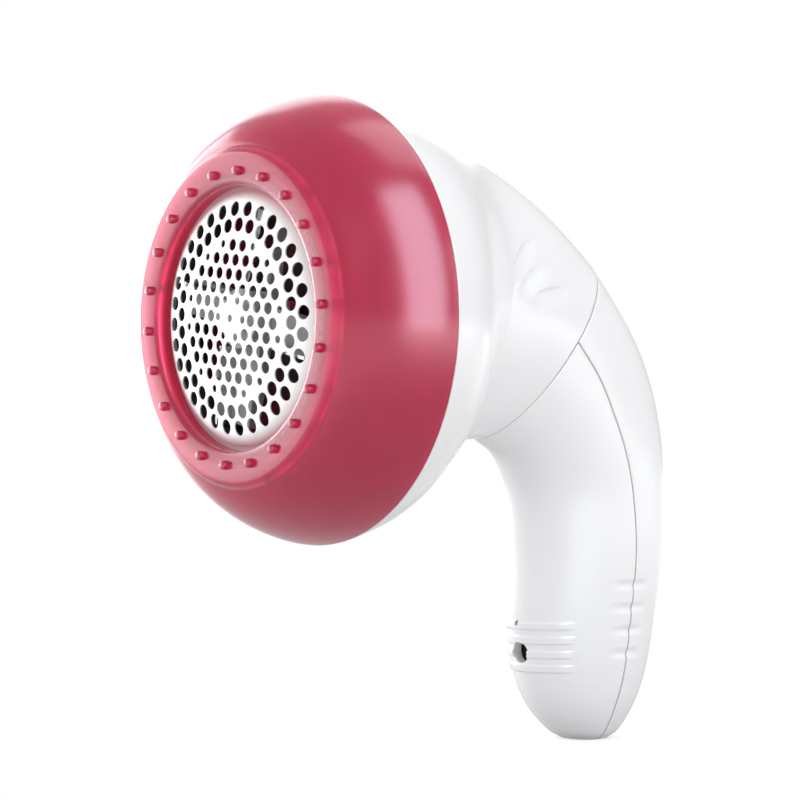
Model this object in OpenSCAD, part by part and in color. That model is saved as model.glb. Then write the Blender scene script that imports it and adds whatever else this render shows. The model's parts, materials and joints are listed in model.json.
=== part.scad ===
// Fabric shaver: a bell-shaped head with a perforated foil on a bent neck, and a two-shell handle.
// Millimetres. The origin is the centre of the flat foot, +Z is up and the foil faces -Y.

/* [Head] */
// Height of the head's axis above the foot
head_height = 79; // [74:1:86]
// Distance from the front ring of the cover back to the centre of the foot
head_reach = 83.5; // [80:0.5:90]
// Diameter where the cover meets the housing
rim_d = 80; // [78:0.5:84]
// Depth of the cover, front ring to rim
cover_depth = 17.8; // [17:0.1:20]
// Wall of the cover
cover_wall = 1.8; // [1.4:0.1:2.2]
// Diameter of the flat front ring
ring_d = 59; // [57:0.5:61]
// Diameter of the aperture in the cover
aperture_d = 46.2; // [45:0.1:46.4]
// Depth of the aperture tube behind the front ring
tube_depth = 9; // [8:0.5:11]
// Number of nubs on the front ring
nub_count = 22; // [12:1:28]
// Diameter of the circle of nubs
nub_circle_d = 51.2; // [50:0.2:53]
// Diameter of one nub
nub_d = 1.7; // [1.2:0.1:2.2]
// Height of a nub above the ring
nub_h = 1; // [0.6:0.1:1.4]
// Turn of the cover about the head's axis, at rest
cover_turn = 4.2; // [0:0.1:10]

/* [Foil and cutter] */
// Radius of the foil's dome
foil_dome_r = 120; // [100:1:140]
// Turn of the foil's holes about the head's axis, at rest
foil_turn = 5.9; // [0:0.1:10]
// Thickness of the foil
foil_t = 0.25; // [0.2:0.01:0.3]
// Holes in each of the two outer rings
outer_holes = 32; // [20:2:34]
// Diameter of the holes in the two outer rings
outer_hole_d = 2.5; // [2:0.1:2.6]
// Radius of the outermost ring of holes
outer_ring_r = 19.05; // [18.8:0.05:19.3]
// Pitch of the inner lattice of holes
hole_pitch = 2.93; // [2.8:0.01:3]
// Diameter of the inner holes
inner_hole_d = 2.1; // [1.6:0.1:2.2]
// Diameter of the smallest holes
small_hole_d = 1.35; // [1:0.05:1.6]
// Running gap between the blades and the foil
blade_gap = 0.3; // [0.2:0.05:0.5]
// Number of blades
blade_count = 4; // [2:1:4]
// Thickness of a blade
blade_t = 0.6; // [0.4:0.1:1]
// Diameter of the motor's shaft
shaft_d = 2; // [1.5:0.1:2.5]
// Diameter of the motor
motor_d = 24; // [20:0.5:24.5]
// Length of the motor's can
motor_l = 25; // [20:0.5:26]

/* [Body] */
// Width of the handle at the neck seam
handle_w = 26; // [25:0.5:30]
// Depth of the handle, front to back
handle_d = 35; // [34:0.5:38]
// Wall of the housing and the handle
wall = 1.8; // [1.5:0.1:2]
// Gap at the parting line of the two handle shells
part_gap = 0.16; // [0.1:0.02:0.3]
// Length of the housing's spigot inside the handle, as a share of the first station
spigot_share = 0.35; // [0.25:0.05:0.5]
// Height of the raised ribs on the front
rib_h = 0.5; // [0.3:0.1:0.8]
// Pitch of the raised ribs
rib_pitch = 2.7; // [2.4:0.1:3]
// Number of raised ribs
rib_count = 4; // [3:1:5]
// Depth of the grip dimples across the parting line
dimple_h = 0.35; // [0.2:0.05:0.5]
// Pitch of the grip dimples
dimple_pitch = 4.3; // [4:0.1:4.6]

/* [Inside the handle] */
// Diameter of the charging hole in the front shell
inlet_d = 4; // [3.6:0.1:4.6]
// Height of the charging hole above the foot
inlet_z = 17.2; // [17:0.1:20]
// Diameter of the charge light
light_d = 0.9; // [0.7:0.1:1.2]
// Diameter of the battery cell
cell_d = 13; // [12:0.5:14]
// Length of the battery cell
cell_l = 49; // [40:1:49.2]
// Thickness of the circuit board
board_t = 1.6; // [1:0.1:1.6]
// Travel of the power switch
switch_travel = 4; // [3:0.5:4.5]

/* [Hidden] */

$fn = 64;
// Small overlap that makes two solids of one piece fuse
fuse = 0.2;
// Clearance between pieces that move past each other, and between pieces that only sit together
run_gap = 0.3;
fit_gap = 0.05;

// Head sizes that follow from the driving ones
rim_r = rim_d / 2;
ring_r = ring_d / 2;
aperture_r = aperture_d / 2;
// Radius about which the dome of the cover is turned
dome_centre_r = 28;
// Gap between the cover's edge and the housing
rim_gap = 0.15;
cover_back = cover_depth - rim_gap;
// Step from the ring's face back to the dome
ring_step = 0.9;
// Depth of the aperture's lip, which the foil's flange seats behind
lip_depth = 3;
flange_r = aperture_r + 0.8;
tube_in_r = flange_r + run_gap;
tube_out_r = tube_in_r + 1.4;
// The foil's crown stands this far out of the ring's face
foil_rise = 0.5;
foil_centre = foil_dome_r - foil_rise;
// The foil's shoulder starts at this radius, bends back with this radius and ends at this angle
shoulder_r = 19.6;
shoulder_bend = 3.1;
shoulder_end = 66;

// Fins and bayonet lugs come in threes, with the lugs half way between the fins
fin_count = 3;
fin_turn = 44 - cover_turn;
fin_t = 1.2;
lug_turn = fin_turn + 180 / fin_count;
lug_angle = 16;

// Chamber plate, between the cover's rim and the housing
plate_t = 1.5;
plate_front = cover_depth - plate_t;
// The dome leans in by this much beside the plate, and beside the bayonet tabs
plate_lean = 0.15;
tab_lean = 1.25;
plate_r = rim_r - cover_wall - run_gap - plate_lean;
mouth_r = rim_r - 4;
collar_r = mouth_r - 0.6;
collar_t = 1.5;
tab_r = rim_r - cover_wall - run_gap - tab_lean;
tab_t = 1.2;
lug_depth = 1.5;
lug_back = plate_front - 0.8;
lug_front = lug_back - lug_depth;
lug_in_r = collar_r + run_gap;
tab_back = lug_front - run_gap;
collar_front = tab_back - tab_t;
// The plate's spigot fits the housing's mouth, and the screw bosses stand just inside it
spigot_t = 1.2;
spigot_in_r = mouth_r - run_gap - spigot_t;
plate_screw_turn = 74;
screw_d = 2.2;
boss_r = screw_d / 2 + 1.6;
plate_screw_r = spigot_in_r - run_gap - boss_r;

// Cutter and drive, as depths behind the front ring
cutter_r = shoulder_r;
ring_in_r = cutter_r + 0.7;
arm_front = 4.6;
arm_t = 2.4;
arm_w = 6.4;
// Turn of the cutter about the head's axis, at rest
cutter_turn = 14;
hub_r = 5.2;
hub_front = 1.4;
hub_back = 9;
sleeve_r = 2.3;
sleeve_front = arm_front;
collar_depth = 13.4;
sleeve_back = 15;
wire_r = 0.35;
spring_turns = 4;
spring_r = sleeve_r + wire_r + 0.5;
shaft_r = shaft_d / 2;
motor_r = motor_d / 2;
motor_front = cover_depth;
motor_back = motor_front + motor_l;
bush_r = 3;
bush_front = plate_front - 0.3;
cap_t = 3.5;
terminal_l = 4.5;
terminal_x = 6;

// How far each sized curve departs from the drawn one
drawn_height = 79;
drawn_depth = 35;
drawn_width = 26;
drawn_rim = 80;
tall = head_height / drawn_height;
deep = handle_d / drawn_depth;
wide = handle_w / drawn_width;
round_scale = rim_d / drawn_rim;
rim_y = cover_depth - head_reach;

// Stations of the handle, top to foot: front y z, parting y z, back y z, half width
handle_drawn = [
    [-27.5, 57.6, -13.7, 75.7, -1.8, 91.3, 13],
    [-24.2, 55.9, -8.2, 69, 7.5, 80, 13],
    [-21.8, 54.4, -4.2, 62, 12.9, 70.8, 12.8],
    [-19.7, 51.6, -1, 55, 16, 60.6, 12.6],
    [-17.9, 46.2, 1.3, 47, 17.6, 48.4, 12.2],
    [-17.4, 36, 2.3, 36, 16.9, 36, 12],
    [-17.4, 23, 1.5, 23, 14.5, 23, 11.3],
    [-15.8, 13, 0.3, 13, 12.2, 13, 10.7],
    [-12.6, 6.6, -0.7, 6.6, 9.8, 6.6, 9.3],
    [-7.8, 1.8, -1, 1.8, 6.8, 1.8, 6.8],
    [-4.5, 0, -1.2, 0, 4.6, 0, 4.6]
];
function sized(s) = [
    s[0] * deep, s[1] * tall, s[2] * deep, s[3] * tall, s[4] * deep, s[5] * tall, s[6] * wide
];
handle_keys = [for (s = handle_drawn) sized(s)];

// Stations of the bell, rim to crease, with depths behind the rim:
// depth and drop of the bottom, depth and rise of the side, depth and rise of the top, half width
bell_drawn = [
    [6.2, 38.4, 6.2, 0, 6.2, 39, 38.6],
    [12.2, 35, 12.2, 0.5, 12.2, 37.9, 34.6],
    [16.7, 31.9, 17.7, 1, 18.2, 36.5, 29.7],
    [20.7, 28.8, 22.7, 2, 24.2, 34.8, 24.4],
    [24.6, 25.6, 28.2, 2.6, 30.2, 32.8, 19.2]
];
function bell_station(b) = [
    rim_y + b[0], head_height - b[1] * round_scale,
    rim_y + b[2], head_height + b[3],
    rim_y + b[4], head_height + b[5] * round_scale,
    b[6] * round_scale
];
rim_station = [rim_y, head_height - rim_r, rim_y, head_height, rim_y, head_height + rim_r, rim_r];
// Stations of the neck, crease to seam, in the same form as the handle's
neck_drawn = [
    [-37.5, 56.7, -32.5, 82, -29, 109.6, 15.6],
    [-33.5, 57.1, -26, 81.2, -19.7, 104.7, 14.7],
    [-30.3, 57.4, -19.5, 79, -10.3, 98.4, 13.8]
];
neck_keys = [for (s = neck_drawn) sized(s)];
bell_keys = concat([rim_station], [for (b = bell_drawn) bell_station(b)], [neck_keys[0]]);
throat_keys = concat(neck_keys, [handle_keys[0]]);

// A smooth curve through stations, passing each of them
function curve_at(a, b, c, d, t) =
    b + (c - a) * t / 2 + (2 * a - 5 * b + 4 * c - d) * pow(t, 2) / 2
    + (3 * b - a - 3 * c + d) * pow(t, 3) / 2;
function station(keys, u) =
    let (n = len(keys) - 1, i = min(floor(u), n - 1))
    let (before = i > 0 ? keys[i - 1] : 2 * keys[0] - keys[1])
    let (after = i < n - 1 ? keys[i + 2] : 2 * keys[n] - keys[n - 1])
    curve_at(before, keys[i], keys[i + 1], after, u - i);

// The middle of a station, its front and back tips moved in by an offset, and its half width
function mid(s) = [s[2], s[3]];
function front_tip(s) = [s[0], s[1]];
function back_tip(s) = [s[4], s[5]];
function moved_in(m, tip, offset) = tip + (m - tip) / norm(m - tip) * offset;
// One point of a half oval from the +X side over the tip to the -X side
function oval_point(m, tip, half_w, t, lift) =
    let (depth = norm(tip - m), dir = (tip - m) / depth)
    let (nx = cos(t) / half_w, nd = sin(t) / depth, scale_n = lift / norm([nx, nd]))
    let (along = depth * sin(t) + nd * scale_n)
    [half_w * cos(t) + nx * scale_n, m[0] + dir[0] * along, m[1] + dir[1] * along];
function oval_half(m, tip, half_w, n) = [for (k = [0 : n]) oval_point(m, tip, half_w, 180 * k / n, 0)];
// A whole egg-shaped ring: over the back tip, then over the front tip
function egg_ring(s, offset, n) =
    let (m = mid(s), a = s[6] - offset)
    let (over = oval_half(m, moved_in(m, back_tip(s), offset), a, n))
    let (under = oval_half(m, moved_in(m, front_tip(s), offset), a, n))
    concat([for (k = [0 : n - 1]) over[k]], [for (k = [n : -1 : 1]) under[k]]);

// Triangles between ring i and ring j of n points each
function band(i, j, n) = [
    for (k = [0 : n - 1], half = [0, 1])
        let (l = (k + 1) % n)
        half == 0 ? [i * n + k, i * n + l, j * n + l] : [i * n + k, j * n + l, j * n + k]
];

module closed_tube(rings) {
    n = len(rings[0]);
    c = len(rings);
    polyhedron(
        points = [for (r = rings, p = r) p],
        faces = [for (i = [0 : c - 1], f = band(i, (i + 1) % c, n)) f],
        convexity = 8
    );
}

module capped_loft(rings) {
    n = len(rings[0]);
    c = len(rings);
    polyhedron(
        points = [for (r = rings, p = r) p],
        faces = concat(
            [for (i = [0 : c - 2], f = band(i, i + 1, n)) f],
            [[for (k = [n - 1 : -1 : 0]) k]],
            [[for (k = [0 : n - 1]) (c - 1) * n + k]]
        ),
        convexity = 8
    );
}

// Places what is drawn about the head's axis, with Z forward, so that a depth d is Z = -d
module on_head(turn = 0) {
    translate([0, -head_reach, head_height]) rotate([90, 0, 0]) rotate([0, 0, -turn]) children();
}
// A solid of revolution from points of radius and depth
module turned(points) {
    rotate_extrude() polygon([for (p = points) [p[0], -p[1]]]);
}
// A cylinder or tube between two depths
module pin(r, front, back) {
    translate([0, 0, -back]) cylinder(r = r, h = back - front);
}
module tube(r_out, r_in, front, back) {
    turned([[r_in, front], [r_out, front], [r_out, back], [r_in, back]]);
}
// A piece of a ring that covers an angle, centred on the +Z side of the head
module arc_piece(r_in, r_out, front, back, angle) {
    rotate([0, 0, 90 - angle / 2])
        rotate_extrude(angle = angle)
            polygon([[r_in, -front], [r_out, -front], [r_out, -back], [r_in, -back]]);
}
module around(count, turn) {
    for (k = [0 : count - 1]) rotate([0, 0, -turn - k * 360 / count]) children();
}

// The cover's dome, as points on the outside or the inside, near a quarter ellipse:
// the first power flattens it towards the rim, the second towards the ring
dome_power = 1.1;
front_power = 1.4;
function dome_r(r, t) = dome_centre_r + (r - dome_centre_r) * pow(sin(t), dome_power);
function dome_depth(front, t) = cover_back - (cover_back - front) * pow(abs(cos(t)), front_power);
function dome_points(r, front, from, to, n) = [
    for (k = [0 : n])
        let (t = from + (to - from) * k / n)
        [dome_r(r, t), dome_depth(front, t)]
];

module head_cover() {
    dome_start = asin(pow((ring_r - dome_centre_r) / (rim_r - dome_centre_r), 1 / dome_power));
    inner_front = cover_wall + ring_step / 2;
    color([0.78, 0.16, 0.32, 0.8]) on_head(cover_turn) {
        difference() {
            union() {
                turned(concat(
                    [[aperture_r, 0], [ring_r, 0]],
                    dome_points(rim_r, ring_step, dome_start, 90, 18),
                    dome_points(rim_r - cover_wall, inner_front, 90, 0, 12),
                    [[tube_out_r, inner_front], [tube_out_r, tube_depth], [tube_in_r, tube_depth]],
                    [[tube_in_r, lip_depth], [aperture_r, lip_depth]]
                ));
                around(nub_count, 0) translate([0, nub_circle_d / 2, -fuse])
                    cylinder(d = nub_d, h = nub_h + fuse, $fn = 24);
                around(fin_count, fin_turn) translate([-fin_t / 2, tube_out_r - fuse, -tube_depth + 1])
                    cube([fin_t, ring_r - tube_out_r + 1, tube_depth - 1 - cover_wall - fuse]);
                around(fin_count, lug_turn)
                    arc_piece(lug_in_r, rim_r - cover_wall + fuse, lug_front, lug_back, lug_angle);
            }
            around(fin_count, lug_turn) translate([-2, tube_in_r - 1, -tube_depth - 1]) cube([4, 4, 4]);
        }
    }
}

// Hole centres of the foil: two staggered outer rings and a lattice inside them
function lattice_rank(q, r) = q * q + q * r + r * r;
function lattice_xy(q, r) = hole_pitch * [q + r / 2, r * sqrt(3) / 2];
// The innermost six holes stand a little further out
function hole_xy(q, r) = lattice_xy(q, r) * (lattice_rank(q, r) == 1 ? 1.235 : 1);
function is_small(rank) = rank <= 1 || rank == 21;
// Step between the two outer rings, and their turn against the lattice
ring_pitch = 2.77;
inner_ring_r = outer_ring_r - ring_pitch;
ring_turn = 3.5;

module foil_hole(d) {
    translate([0, 0, -lip_depth - 1]) cylinder(d = d, h = lip_depth + 3);
}
module foil_holes() {
    step = 360 / outer_holes;
    for (k = [0 : outer_holes - 1]) {
        rotate([0, 0, k * step - ring_turn]) translate([0, outer_ring_r, 0]) foil_hole(outer_hole_d);
        rotate([0, 0, (k + 0.5) * step - ring_turn]) translate([0, inner_ring_r, 0]) foil_hole(outer_hole_d);
    }
    for (q = [-5 : 5], r = [-5 : 5])
        if (lattice_rank(q, r) <= 21)
            translate(hole_xy(q, r)) foil_hole(is_small(lattice_rank(q, r)) ? small_hole_d : inner_hole_d);
}

// The foil's profile: a flat crown, then a shoulder that bends back towards the flange
crown_end = asin(shoulder_r / foil_dome_r);
function crown_points(offset, n) = [
    for (k = [0 : n])
        let (t = crown_end * k / n)
        [(foil_dome_r - offset) * sin(t), foil_centre - (foil_dome_r - offset) * cos(t)]
];
function shoulder_points(offset, n) = [
    for (k = [1 : n])
        let (t = crown_end + (shoulder_end - crown_end) * k / n)
        [
            shoulder_r + (shoulder_bend - offset) * sin(t) - shoulder_bend * sin(crown_end),
            foil_centre - foil_dome_r * cos(crown_end)
                + shoulder_bend * cos(crown_end) - (shoulder_bend - offset) * cos(t)
        ]
];
function foil_side(offset) = concat(crown_points(offset, 8), shoulder_points(offset, 6));
function reversed(list) = [for (k = [len(list) - 1 : -1 : 0]) list[k]];

module foil() {
    outside = foil_side(0);
    inside = foil_side(foil_t);
    foot_r = outside[len(outside) - 1][0];
    color([0.86, 0.87, 0.88]) on_head(foil_turn) difference() {
        turned(concat(
            outside, [[foot_r, lip_depth], [flange_r, lip_depth], [flange_r, lip_depth + foil_t]],
            [[foot_r - foil_t, lip_depth + foil_t]], reversed(inside)
        ));
        foil_holes();
    }
}

module foil_ring() {
    ring_front = lip_depth + foil_t;
    ring_back = tube_depth - 1.5;
    color([0.9, 0.9, 0.9]) on_head(cover_turn) {
        tube(flange_r, ring_in_r, ring_front, ring_back);
        around(fin_count, lug_turn) translate([-1.7, flange_r - 1, -ring_back])
            cube([3.4, tube_out_r - flange_r + 0.6, ring_back - tube_depth + 3 - run_gap]);
    }
}

module cutter_hub() {
    color([0.82, 0.82, 0.8]) on_head(cutter_turn) difference() {
        union() {
            pin(hub_r, hub_front, hub_back);
            around(blade_count, 0) translate([-arm_w / 2, 0, -arm_front - arm_t])
                cube([arm_w, cutter_r - 0.6, arm_t]);
        }
        pin(sleeve_r + fit_gap, sleeve_front - 0.2, hub_back + 1);
    }
}

module cutter_blades() {
    blade_in = hub_r + run_gap;
    color([0.75, 0.76, 0.78]) on_head(cutter_turn) intersection() {
        around(blade_count, 0) translate([arm_w / 2 - blade_t - 0.4, blade_in, -arm_front])
            cube([blade_t, cutter_r - blade_in, arm_front + 2]);
        translate([0, 0, -foil_centre]) sphere(r = foil_dome_r - foil_t - blade_gap, $fn = 240);
    }
}

// A wire swept along points, with square-cut ends
function unit(v) = v / norm(v);
function wire_ring(p, dir, side, r, n) =
    let (x = unit(cross(side, dir)), y = unit(cross(dir, x)))
    [for (k = [0 : n - 1]) p + r * (x * cos(360 * k / n) + y * sin(360 * k / n))];
function wire_rings(path, side, r, n) = [
    for (i = [0 : len(path) - 1])
        wire_ring(path[i], path[min(i + 1, len(path) - 1)] - path[max(i - 1, 0)], side, r, n)
];

module cutter_spring() {
    steps = spring_turns * 10;
    first = -hub_back - wire_r - fit_gap;
    last = -collar_depth + wire_r + fit_gap;
    path = [
        for (k = [0 : steps])
            [spring_r * cos(360 * k / 10), spring_r * sin(360 * k / 10), first + (last - first) * k / steps]
    ];
    color([0.7, 0.7, 0.72]) on_head() capped_loft(wire_rings(path, [0, 0, 1], wire_r, 6));
}

module drive_sleeve() {
    color([0.25, 0.25, 0.27]) on_head() difference() {
        union() {
            pin(sleeve_r, sleeve_front, collar_depth + fuse);
            pin(spring_r + wire_r + 0.4, collar_depth, sleeve_back);
        }
        pin(shaft_r + fit_gap, sleeve_front + 1, sleeve_back + 1);
    }
}

module motor_shaft() {
    color([0.72, 0.73, 0.75]) on_head() pin(shaft_r, sleeve_front + 1.2, motor_back + cap_t - 1);
}

module motor_can() {
    color([0.62, 0.63, 0.65]) on_head() difference() {
        turned([
            [0, motor_front], [motor_r - 1, motor_front], [motor_r, motor_front + 1],
            [motor_r, motor_back], [0, motor_back]
        ]);
        pin(shaft_r + 0.3, motor_front - 1, motor_back + 1);
        motor_screw_places() pin(screw_d / 2, motor_front - 1, motor_front + 3);
    }
}
module motor_screw_places() {
    around(2, 90) translate([0, motor_r * 0.62, 0]) children();
}

module motor_bush() {
    color([0.7, 0.55, 0.3]) on_head() tube(bush_r, shaft_r + fit_gap, bush_front, motor_front);
}

module motor_cap() {
    color([0.93, 0.93, 0.9]) on_head() difference() {
        turned([
            [0, motor_back], [motor_r - 0.4, motor_back], [motor_r - 0.4, motor_back + cap_t - 1.5],
            [motor_r - 1.9, motor_back + cap_t], [0, motor_back + cap_t]
        ]);
        pin(shaft_r + fit_gap, motor_back - 1, motor_back + cap_t - 0.8);
    }
}

module motor_terminals() {
    color([0.8, 0.65, 0.3]) on_head()
        for (side = [-1, 1]) translate([side * terminal_x - 0.25, -1.4, -motor_back - cap_t - terminal_l])
            cube([0.5, 2.8, terminal_l]);
}

// A pan-head screw along Z, head up, with the head's seat at zero
module screw(d, length, head_d, head_h) {
    translate([0, 0, -length]) cylinder(d = d, h = length + head_h / 2);
    difference() {
        cylinder(d = head_d, h = head_h);
        for (turn = [0, 90]) rotate([0, 0, turn])
            translate([-head_d * 0.3, -0.2, head_h / 2]) cube([head_d * 0.6, 0.4, head_h]);
    }
}

module motor_screws() {
    color([0.6, 0.6, 0.62]) on_head() motor_screw_places() translate([0, 0, -plate_front])
        screw(screw_d - 2 * fit_gap, plate_t + 2.5, 4, 1.4);
}

module chamber_plate() {
    color([0.93, 0.92, 0.92]) on_head() difference() {
        union() {
            turned([
                [bush_r + run_gap, plate_front], [collar_r - collar_t, plate_front],
                [collar_r - collar_t, collar_front], [collar_r, collar_front], [collar_r, plate_front],
                [plate_r, plate_front], [plate_r, cover_depth], [mouth_r - run_gap, cover_depth],
                [mouth_r - run_gap, cover_depth + 3], [spigot_in_r, cover_depth + 3],
                [spigot_in_r, cover_depth],
                [motor_r + 1.6, cover_depth], [motor_r + 1.6, cover_depth + 4],
                [motor_r + fit_gap, cover_depth + 4], [motor_r + fit_gap, cover_depth],
                [bush_r + run_gap, cover_depth]
            ]);
            around(fin_count, lug_turn)
                arc_piece(collar_r - fuse, tab_r, collar_front, tab_back, lug_angle - 4);
        }
        around(fin_count, plate_screw_turn) translate([0, plate_screw_r, 0])
            pin(screw_d / 2 + 0.1, plate_front - 1, cover_depth + 1);
        motor_screw_places() pin(screw_d / 2 + 0.1, plate_front - 1, cover_depth + 1);
    }
}

module plate_screws() {
    color([0.6, 0.6, 0.62]) on_head() around(fin_count, plate_screw_turn)
        translate([0, plate_screw_r, -plate_front]) screw(screw_d - 2 * fit_gap, plate_t + 7, 4.4, 1.5);
}

// White bell and neck, one hollow piece with a spigot that the handle shells close around
bell_steps = 12;
throat_steps = 7;
ring_points = 24;
ledge = rim_r - mouth_r;
module housing_shell() {
    last_bell = len(bell_keys) - 1;
    last_throat = len(throat_keys) - 1;
    bell = [for (k = [0 : bell_steps]) station(bell_keys, last_bell * k / bell_steps)];
    throat = [for (k = [1 : throat_steps]) station(throat_keys, last_throat * k / throat_steps)];
    skin = concat(bell, throat);
    spigot = station(handle_keys, spigot_share);
    inset = wall + 0.2;
    closed_tube(concat(
        [for (s = skin) egg_ring(s, 0, ring_points)],
        [egg_ring(handle_keys[0], inset, ring_points), egg_ring(spigot, inset, ring_points)],
        [egg_ring(spigot, inset + wall, ring_points), egg_ring(handle_keys[0], inset + wall, ring_points)],
        [for (k = [len(skin) - 3 : -2 : 3]) egg_ring(skin[k], wall, ring_points)],
        [egg_ring(skin[1], ledge - 1, ring_points), egg_ring(skin[0], ledge, ring_points)]
    ));
}

module head_housing() {
    boss_back = cover_depth + 12;
    web_t = 1.4;
    web_l = 5;
    web_back = cover_depth + 8.5;
    web_r = rim_r - 3.8;
    color([0.95, 0.95, 0.96]) {
        difference() {
            union() {
                housing_shell();
                on_head() around(fin_count, plate_screw_turn) translate([0, plate_screw_r, 0]) {
                    pin(boss_r, cover_depth, boss_back);
                    translate([-web_t / 2, 0, -web_back]) cube([web_t, web_r - plate_screw_r, web_l]);
                }
            }
            on_head() around(fin_count, plate_screw_turn) translate([0, plate_screw_r, 0])
                pin(screw_d / 2, cover_depth - 1, cover_depth + 8);
        }
    }
}

// Raised ribs low on the front, and grip dimples across the parting line
rib_top = inlet_z + 5.1;
rib_w = 0.95;
dimple_top = inlet_z + 12.6;
dimple_w = 1.3;
function ridge(z, centre, half_w) = abs(z - centre) > half_w ? 0 : pow(cos(90 * (z - centre) / half_w), 2);
function fade(t, from, to) = t < from ? 0 : t > to ? 1 : (1 - cos(180 * (t - from) / (to - from))) / 2;
function ribs_at(z) = max([for (k = [0 : rib_count - 1]) ridge(z, rib_top - k * rib_pitch, rib_w)]);
function dimples_at(z) = max([for (k = [0 : 3]) ridge(z, dimple_top - k * dimple_pitch, dimple_w)]);
function front_lift(z, t) =
    let (side = 90 - abs(90 - t))
    rib_h * ribs_at(z) * fade(side, 42, 52) - dimple_h * dimples_at(z) * (1 - fade(side, 6, 18));
function back_lift(z, t) =
    let (side = 90 - abs(90 - t))
    -dimple_h * dimples_at(z) * (1 - fade(side, 6, 18));

// The places along the handle at which sections are drawn: wide steps above, close ones over the ribs
plain_places = [0, 0.35, 0.7, 1, 1.4, 1.8, 2.2, 2.6, 3, 3.4, 3.8, 4.2, 4.7, 5.1, 5.35];
close_places = [for (k = [0 : 27]) 5.5 + k * 1.45 / 27];
foot_places = [7.1, 7.35, 7.6, 7.85, 8.15, 8.5, 8.8, 9.1, 9.4, 9.7, 10];
places = concat(plain_places, close_places, foot_places);
// Below this place the shells are solid, with a parting face that is dished this much
floor_place = 7.5;
floor_dish = 0.3;
arc_n = 18;

// One section of a handle shell: outside over the tip, then back along the inside
function shell_ring(s, is_front, hollow) =
    let (m0 = mid(s), tip = is_front ? front_tip(s) : back_tip(s))
    let (m = m0 + (tip - m0) / norm(tip - m0) * part_gap / 2)
    let (inner_tip = hollow ? moved_in(m, tip, wall) : m + (tip - m) / norm(tip - m) * floor_dish, a = s[6])
    let (outer = [
        for (k = [0 : arc_n])
            let (t = 180 * k / arc_n)
            oval_point(m, tip, a, t, is_front ? front_lift(m[1], t) : back_lift(m[1], t))
    ])
    let (inner = oval_half(m, inner_tip, a - wall, arc_n))
    let (back_again = [for (k = [arc_n : -1 : 0]) inner[k]])
    concat(outer, back_again);

// Triangles that close the end of a shell, between its outside and its inside
function end_strip(first, n) = [
    for (k = [0 : n / 2 - 2], half = [0, 1])
        let (a = first + k, b = first + n - 1 - k)
        half == 0 ? [a, b, b - 1] : [a, b - 1, a + 1]
];
function flipped(faces) = [for (f = faces) [f[2], f[1], f[0]]];

module handle_shell(is_front) {
    rings = [for (u = places) shell_ring(station(handle_keys, u), is_front, u < floor_place)];
    n = len(rings[0]);
    c = len(rings);
    sides = [for (i = [0 : c - 2], f = band(i, i + 1, n)) f];
    faces = concat(sides, end_strip(0, n), flipped(end_strip((c - 1) * n, n)));
    polyhedron(
        points = [for (r = rings, p = r) p],
        faces = is_front ? flipped(faces) : faces,
        convexity = 8
    );
}

// Places in the handle
cell_y = 3.6 * deep;
// The cell lies to one side of the handle, this far out at its edge
cell_side = 8.5 * wide;
cell_x = cell_side - cell_d / 2;
cell_bottom = inlet_z + 0.5;
board_back = cell_y - cell_d / 2 - 0.7;
board_front = board_back - board_t;
board_w = 12;
board_bottom = inlet_z - 3.4;
board_l = 42;
post_r = 2.2;
post_x = 4.6;
post_low = inlet_z + 14;
post_high = inlet_z + 32;
light_z = inlet_z + 5.6;
joint_z = 6.2;
joint_seat = 3;
socket_bore_r = 1.7;
socket_nose = 13.9 * deep;
socket_l = socket_nose + board_front;

// Places what is drawn along Z, with Z towards the front of the handle
module facing_front(x, z) {
    translate([x, 0, z]) rotate([90, 0, 0]) children();
}

module board_posts() {
    for (p = [[post_x, post_low], [-post_x, post_high]]) facing_front(p[0], p[1]) children();
}

module handle_front() {
    color([0.95, 0.95, 0.96]) difference() {
        union() {
            handle_shell(true);
            board_posts() translate([0, 0, -board_front]) cylinder(r = post_r, h = 14 * deep + board_front);
            facing_front(0, inlet_z) translate([0, 0, socket_nose]) cylinder(r = inlet_d / 2 + 1.4, h = 1);
        }
        facing_front(0, inlet_z) translate([0, 0, 8]) cylinder(d = inlet_d, h = 20);
        facing_front(0, light_z) translate([0, 0, 8]) cylinder(d = light_d + 2 * fit_gap, h = 20);
        board_posts() translate([0, 0, -board_front - 1]) cylinder(d = screw_d, h = 6);
        facing_front(0, joint_z) translate([0, 0, -4]) cylinder(d = screw_d, h = 11);
    }
}

// The power switch sits in the back: its frame has Z outwards and Y down the handle
switch_place = 3.2;
switch_at = back_tip(station(handle_keys, switch_place));
switch_before = back_tip(station(handle_keys, switch_place - 0.05));
switch_after = back_tip(station(handle_keys, switch_place + 0.05));
switch_run = switch_after - switch_before;
module on_switch() {
    translate([0, switch_at[0], switch_at[1]]) rotate([atan2(switch_run[1], switch_run[0]), 0, 0]) children();
}
stem_w = 2.2;
stem_l = 3;
knob_w = 3.8;
knob_l = 12;
knob_h = 1.2;
// The knob runs in a shallow recess, and the switch's case seats in a pocket inside the shell
recess = 0.6;
knob_low = run_gap - recess;
case_w = 5.2;
case_l = 9.4;
case_h = 2.8;
case_top = -1.5;
// Two ribs of the back shell cradle the battery
cradle_t = 1.4;
cradle_w = 10;
cradle_places = [4.8, 6];

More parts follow.
